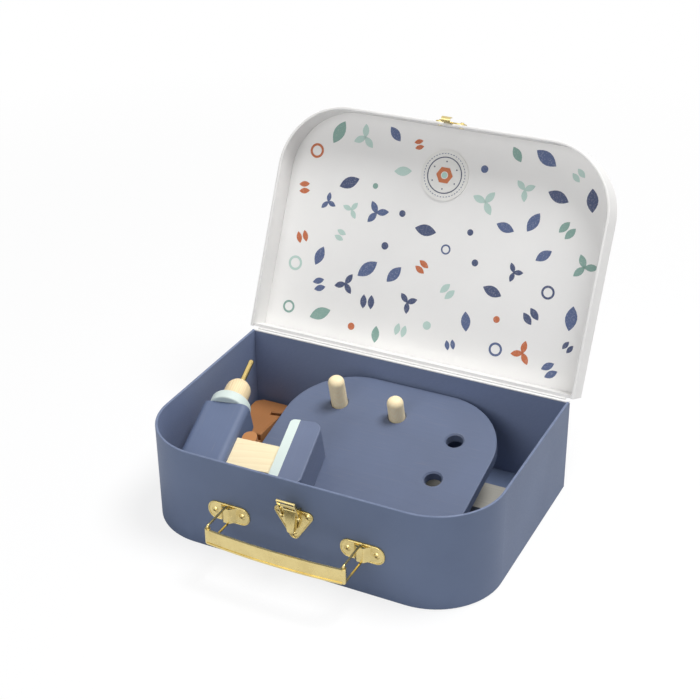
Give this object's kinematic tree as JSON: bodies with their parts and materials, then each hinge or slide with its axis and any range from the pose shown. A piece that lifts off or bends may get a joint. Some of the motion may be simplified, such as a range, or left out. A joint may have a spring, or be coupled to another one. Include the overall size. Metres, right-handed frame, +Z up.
{
  "type": "toy tool case",
  "caption": "Open cardboard suitcase with round front corners and brass-coloured handle and latch, holding a wooden pounding bench, toy drill, mallet and spanner.",
  "frame": {"origin": "middle of the case's underside, leaving out the handle and the open lid", "axes": "+X to the right seen from the front, +Y from the front to the hinge, +Z up"},
  "size_m": [0.2852, 0.3279, 0.264],
  "materials": {
    "case_paper": "matte dyed paper over board",
    "lid_paper": "matte white paper over board",
    "print_paper": "matte printed paper",
    "patch_paper": "matte paper",
    "brass": "bright brushed",
    "blue_wood": "matte paint",
    "mint_wood": "matte paint",
    "pale_wood": "bare sanded",
    "grey_wood": "matte paint",
    "rust_wood": "matte paint",
    "gold_metal": "bright drawn"
  },
  "bodies": {
    "case": {"base_wall": "case_paper", "base_floor": "case_paper", "floor_lining": "case_paper", "base_hinge_leaf": "case_paper", "latch_plate": "brass", "latch_rivets": "brass", "lever_pin": "brass", "left_saddle": "brass", "right_saddle": "brass", "saddle_rivets": "brass", "batten": "grey_wood", "mallet_head": "blue_wood", "mallet_handle": "pale_wood", "spanner": "rust_wood"},
    "lid": {"lid_wall": "lid_paper", "lid_panel": "lid_paper", "lid_lining": "print_paper", "lid_patch": "patch_paper", "lid_hinge_leaf": "lid_paper", "catch_plate": "brass", "catch_rivets": "brass"},
    "left_link": {"left_link": "brass"},
    "right_link": {"right_link": "brass"},
    "handle": {"handle_strip": "brass"},
    "lever": {"latch_lever": "brass", "bail_pin": "brass"},
    "bail": {"latch_bail": "brass"},
    "bench": {"bench_board": "blue_wood"},
    "left_peg": {"left_peg": "pale_wood"},
    "right_peg": {"right_peg": "pale_wood"},
    "drill": {"drill_barrel": "blue_wood", "drill_collar": "mint_wood", "drill_grip": "pale_wood", "battery_plate": "mint_wood", "battery_block": "blue_wood", "drill_dowels": "pale_wood"},
    "chuck": {"drill_chuck": "pale_wood", "chuck_axle": "pale_wood", "drill_bit": "gold_metal"},
    "trigger": {"drill_trigger": "rust_wood"}
  },
  "joints": [
    {"name": "lid_hinge", "type": "hinge", "parent": "case", "child": "lid", "pos_m": [0, 0.0962, 0.08015], "axis": [-1, 0, 0], "range_deg": [-115, 55]},
    {"name": "left_link_fold", "type": "hinge", "parent": "case", "child": "left_link", "pos_m": [-0.0545, -0.098, 0.037], "axis": [0, 0, 1], "range_deg": [-76, 76]},
    {"name": "right_link_fold", "type": "hinge", "parent": "case", "child": "right_link", "pos_m": [0.0545, -0.098, 0.037], "axis": [0, 0, 1], "range_deg": [-76, 76]},
    {"name": "handle_swing", "type": "hinge", "parent": "left_link", "child": "handle", "pos_m": [-0.0545, -0.1255, 0.037], "axis": [0, 0, 1], "range_deg": [-76, 76]},
    {"name": "lever_lift", "type": "hinge", "parent": "case", "child": "lever", "pos_m": [0, -0.0999, 0.058], "axis": [-1, 0, 0], "range_deg": [0, 42]},
    {"name": "bail_tilt", "type": "hinge", "parent": "lever", "child": "bail", "pos_m": [0, -0.0999, 0.053], "axis": [1, 0, 0], "range_deg": [-22, 60]},
    {"name": "bench_lift", "type": "slide", "parent": "case", "child": "bench", "axis": [0, 0, 1], "range_m": [0, 0.11]},
    {"name": "left_peg_slide", "type": "slide", "parent": "bench", "child": "left_peg", "axis": [0, -0.2419, 0.9703], "range_m": [0, 0.04]},
    {"name": "right_peg_slide", "type": "slide", "parent": "bench", "child": "right_peg", "axis": [0, -0.2419, 0.9703], "range_m": [-0.019, 0.04]},
    {"name": "drill_lift", "type": "slide", "parent": "bench", "child": "drill", "axis": [0, 0, 1], "range_m": [0, 0.06]},
    {"name": "chuck_spin", "type": "hinge", "parent": "drill", "child": "chuck", "pos_m": [-0.11065, 0.00611, 0.0606], "axis": [-0.1771, 0.955, 0.2381], "continuous": true},
    {"name": "trigger_press", "type": "slide", "parent": "drill", "child": "trigger", "axis": [0.1771, -0.955, -0.2381], "range_m": [0, 0.003], "stiffness_N_per_m": 120, "springref_m": -0.001}
  ],
  "couplings": [
    {"joint": "right_link_fold", "follows": "left_link_fold", "ratio": 1},
    {"joint": "handle_swing", "follows": "left_link_fold", "ratio": -1}
  ]
}
